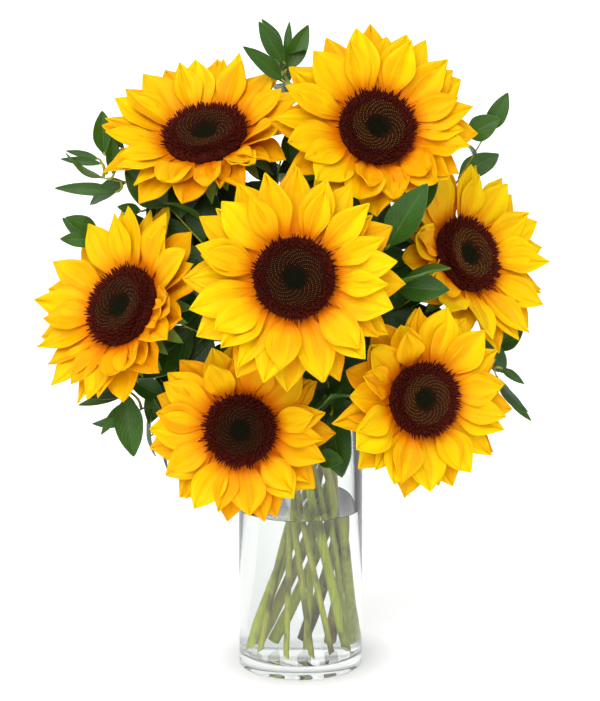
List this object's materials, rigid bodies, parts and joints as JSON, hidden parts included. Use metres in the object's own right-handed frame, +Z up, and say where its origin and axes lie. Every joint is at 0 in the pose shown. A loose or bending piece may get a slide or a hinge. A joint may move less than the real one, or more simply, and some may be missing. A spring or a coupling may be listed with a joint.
{
  "type": "sunflowers in a vase",
  "caption": "Cut sunflowers and leafy sprigs in water, fanned out above a clear straight-sided glass cylinder vase.",
  "frame": {"origin": "centre of the flat underside of the vase's base", "axes": "+Z straight up through the vase, -Y the side the flowers face, +X to the right of someone facing the flowers"},
  "size_m": [0.358, 0.2263, 0.4604],
  "materials": {
    "vase_glass": "clear polished soda-lime glass, thick base",
    "water": "clear still water",
    "petals": "fresh golden-yellow ray petals, satin, orange towards the root",
    "discs": "dark brown seed disc with a maroon fringe of florets, matte",
    "stems": "fresh green ribbed stems and bracts, satin",
    "leaves": "dark green waxy leaves on thin brown-green twigs"
  },
  "bodies": {
    "root": {"vase": "vase_glass", "water": "water", "petals_center": "petals", "disc_center": "discs", "stem_center": "stems", "petals_top_left": "petals", "disc_top_left": "discs", "stem_top_left": "stems", "petals_top_right": "petals", "disc_top_right": "discs", "stem_top_right": "stems", "petals_right": "petals", "disc_right": "discs", "stem_right": "stems", "petals_left": "petals", "disc_left": "discs", "stem_left": "stems", "petals_low_left": "petals", "disc_low_left": "discs", "stem_low_left": "stems", "petals_low_right": "petals", "disc_low_right": "discs", "stem_low_right": "stems", "sprig_top": "leaves", "sprig_left_side": "leaves", "sprig_low_left_side": "leaves", "sprig_right_side": "leaves", "sprig_back": "leaves", "sprig_middle": "leaves"}
  },
  "joints": []
}
